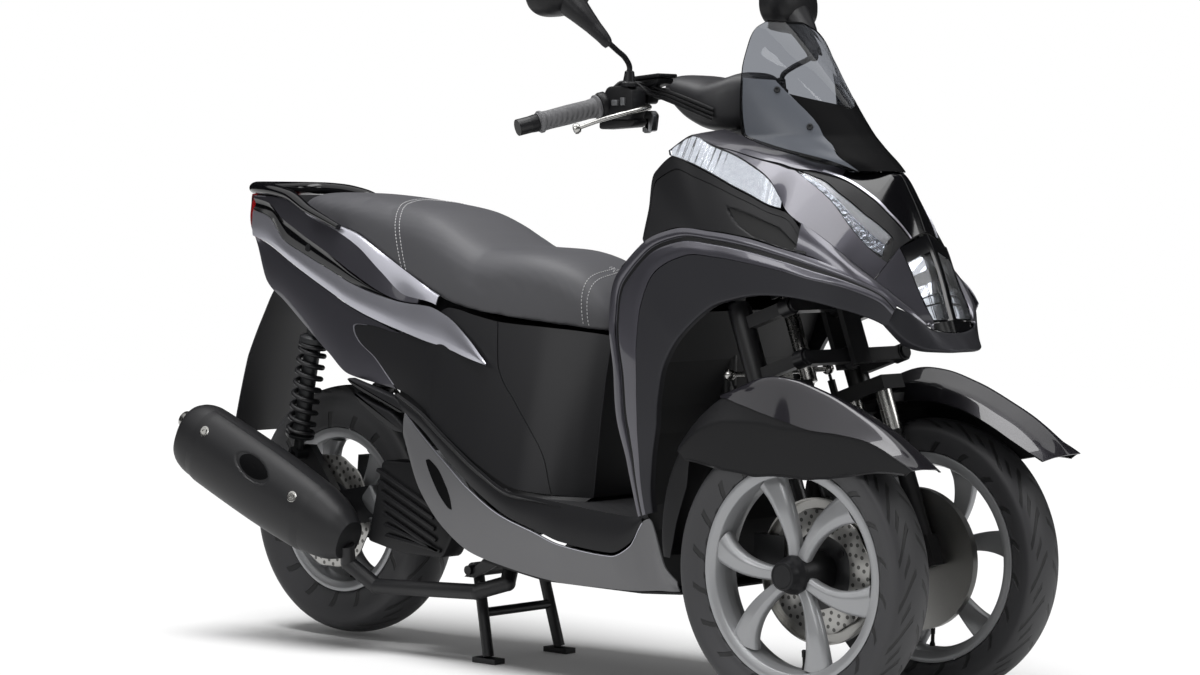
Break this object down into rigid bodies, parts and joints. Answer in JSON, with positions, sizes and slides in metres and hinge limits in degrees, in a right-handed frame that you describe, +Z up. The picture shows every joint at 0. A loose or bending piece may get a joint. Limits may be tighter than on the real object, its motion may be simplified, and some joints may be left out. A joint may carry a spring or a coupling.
{
  "type": "leaning three-wheeled scooter",
  "caption": "Reverse-trike scooter with two leaning front wheels on parallel arms, step-through floor, hinged seat over a storage bucket, centre stand and side stand.",
  "frame": {"origin": "centre of the bounding box's bottom face, on the floor the tyres and the stand rest on", "axes": "+X to the front of the vehicle, +Y to the rider's left, +Z up"},
  "size_m": [1.8954, 0.792, 1.314],
  "materials": {
    "alloy_case": "cast alloy",
    "fender_paint": "metallic gloss",
    "frame_black": "satin black",
    "gloss_black": "gloss",
    "grip_rubber": "moulded rubber",
    "gunmetal_paint": "metallic gloss",
    "lens_clear": "clear moulded lens",
    "lens_red": "red moulded lens",
    "matte_black": "moulded satin",
    "matte_grey": "moulded grain",
    "mirror_black": "satin black",
    "muffler_black": "heat-proof satin black",
    "screen_smoke": "smoked acrylic",
    "seat_vinyl": "grained vinyl",
    "silver_paint": "metallic satin",
    "steel": "brushed",
    "tyre_rubber": "rubber",
    "wheel_silver": "painted cast alloy"
  },
  "bodies": {
    "body": {"main_frame": "frame_black", "arch_fairings": "gunmetal_paint", "front_cowl": "gunmetal_paint", "headlamp": "lens_clear", "turn_lamps": "lens_clear", "side_panels": "matte_grey", "leg_shield": "matte_black", "wheel_house": "matte_black", "windscreen": "screen_smoke", "lower_skirts": "silver_paint", "step_trim": "matte_black", "floor_board": "matte_black", "under_cover": "matte_black", "side_covers": "matte_black", "storage_box": "matte_black", "tail_panels": "gunmetal_paint", "grab_rail": "gloss_black", "tail_lamp": "lens_red", "rear_guard": "matte_black", "engine_block": "alloy_case", "drive_case": "alloy_case", "swing_arm": "frame_black", "rear_shocks": "frame_black", "silencer": "muffler_black", "exhaust_pipe": "steel", "radiator_cover": "matte_black"},
    "steering": {"steering_column": "steel", "handlebar": "frame_black", "grips": "grip_rubber", "bar_controls": "matte_black", "handlebar_cover": "matte_black", "mirrors": "mirror_black"},
    "yoke": {"tie_rod_yoke": "steel"},
    "rod": {"tie_rod": "steel"},
    "upper_link": {"upper_arm": "frame_black"},
    "lower_link": {"lower_arm": "frame_black"},
    "member_l": {"side_member_l": "frame_black"},
    "member_r": {"side_member_r": "frame_black"},
    "knuckle_l": {"fork_l": "frame_black", "front_fender_l": "fender_paint", "disc_cover_l": "matte_black"},
    "knuckle_r": {"fork_r": "frame_black", "front_fender_r": "fender_paint", "disc_cover_r": "matte_black"},
    "front_wheel_l": {"front_rim_l": "wheel_silver", "front_tyre_l": "tyre_rubber", "front_disc_l": "steel"},
    "front_wheel_r": {"front_rim_r": "wheel_silver", "front_tyre_r": "tyre_rubber", "front_disc_r": "steel"},
    "rear_wheel": {"rear_rim": "wheel_silver", "rear_tyre": "tyre_rubber", "rear_disc": "steel"},
    "seat": {"seat_cushion": "seat_vinyl", "seat_pan": "matte_black"},
    "centre_stand": {"centre_stand": "frame_black"},
    "side_stand": {"side_stand": "frame_black"}
  },
  "joints": [
    {"name": "steer", "type": "hinge", "parent": "body", "child": "steering", "pos_m": [0.41942, 0, 0.87391], "axis": [-0.342, 0, 0.9397], "range_deg": [-35, 35]},
    {"name": "yoke_pin", "type": "hinge", "parent": "steering", "child": "yoke", "pos_m": [0.46223, 0, 0.58088], "axis": [-0.342, 0, 0.9397], "range_deg": [-35, 35]},
    {"name": "rod_lean", "type": "hinge", "parent": "yoke", "child": "rod", "pos_m": [0.46223, 0, 0.58088], "axis": [0.9397, 0, 0.342], "range_deg": [-38, 38]},
    {"name": "lean", "type": "hinge", "parent": "body", "child": "upper_link", "pos_m": [0.59265, 0, 0.70497], "axis": [0.9397, 0, 0.342], "range_deg": [-38, 38]},
    {"name": "lower_lean", "type": "hinge", "parent": "body", "child": "lower_link", "pos_m": [0.62514, 0, 0.6157], "axis": [0.9397, 0, 0.342], "range_deg": [-38, 38]},
    {"name": "member_l_pivot", "type": "hinge", "parent": "upper_link", "child": "member_l", "pos_m": [0.59265, 0.141, 0.70497], "axis": [0.9397, 0, 0.342], "range_deg": [-38, 38]},
    {"name": "member_r_pivot", "type": "hinge", "parent": "upper_link", "child": "member_r", "pos_m": [0.59265, -0.141, 0.70497], "axis": [0.9397, 0, 0.342], "range_deg": [-38, 38]},
    {"name": "kingpin_l", "type": "hinge", "parent": "member_l", "child": "knuckle_l", "pos_m": [0.5104, 0.141, 0.62396], "axis": [-0.342, 0, 0.9397], "range_deg": [-35, 35]},
    {"name": "kingpin_r", "type": "hinge", "parent": "member_r", "child": "knuckle_r", "pos_m": [0.5104, -0.141, 0.62396], "axis": [-0.342, 0, 0.9397], "range_deg": [-35, 35]},
    {"name": "front_wheel_l_spin", "type": "hinge", "parent": "knuckle_l", "child": "front_wheel_l", "pos_m": [0.6695, 0.1925, 0.2498], "axis": [0, 1, 0], "continuous": true},
    {"name": "front_wheel_r_spin", "type": "hinge", "parent": "knuckle_r", "child": "front_wheel_r", "pos_m": [0.6695, -0.1925, 0.2498], "axis": [0, 1, 0], "continuous": true},
    {"name": "rear_wheel_spin", "type": "hinge", "parent": "body", "child": "rear_wheel", "pos_m": [-0.6405, 0, 0.2564], "axis": [0, 1, 0], "continuous": true},
    {"name": "seat_hinge", "type": "hinge", "parent": "body", "child": "seat", "pos_m": [0.137, 0, 0.6375], "axis": [0, 1, 0], "range_deg": [0, 45]},
    {"name": "centre_stand_pivot", "type": "hinge", "parent": "body", "child": "centre_stand", "pos_m": [-0.205, 0, 0.176], "axis": [0, 1, 0], "range_deg": [0, 80]},
    {"name": "side_stand_pivot", "type": "hinge", "parent": "body", "child": "side_stand", "pos_m": [-0.03, 0.168, 0.16], "axis": [0, -0.8986, -0.4388], "range_deg": [0, 107]}
  ],
  "couplings": [
    {"joint": "yoke_pin", "follows": "steer", "ratio": -1},
    {"joint": "kingpin_l", "follows": "steer", "ratio": 1},
    {"joint": "kingpin_r", "follows": "steer", "ratio": 1},
    {"joint": "lower_lean", "follows": "lean", "ratio": 1},
    {"joint": "rod_lean", "follows": "lean", "ratio": 1},
    {"joint": "member_l_pivot", "follows": "lean", "ratio": -1},
    {"joint": "member_r_pivot", "follows": "lean", "ratio": -1}
  ]
}
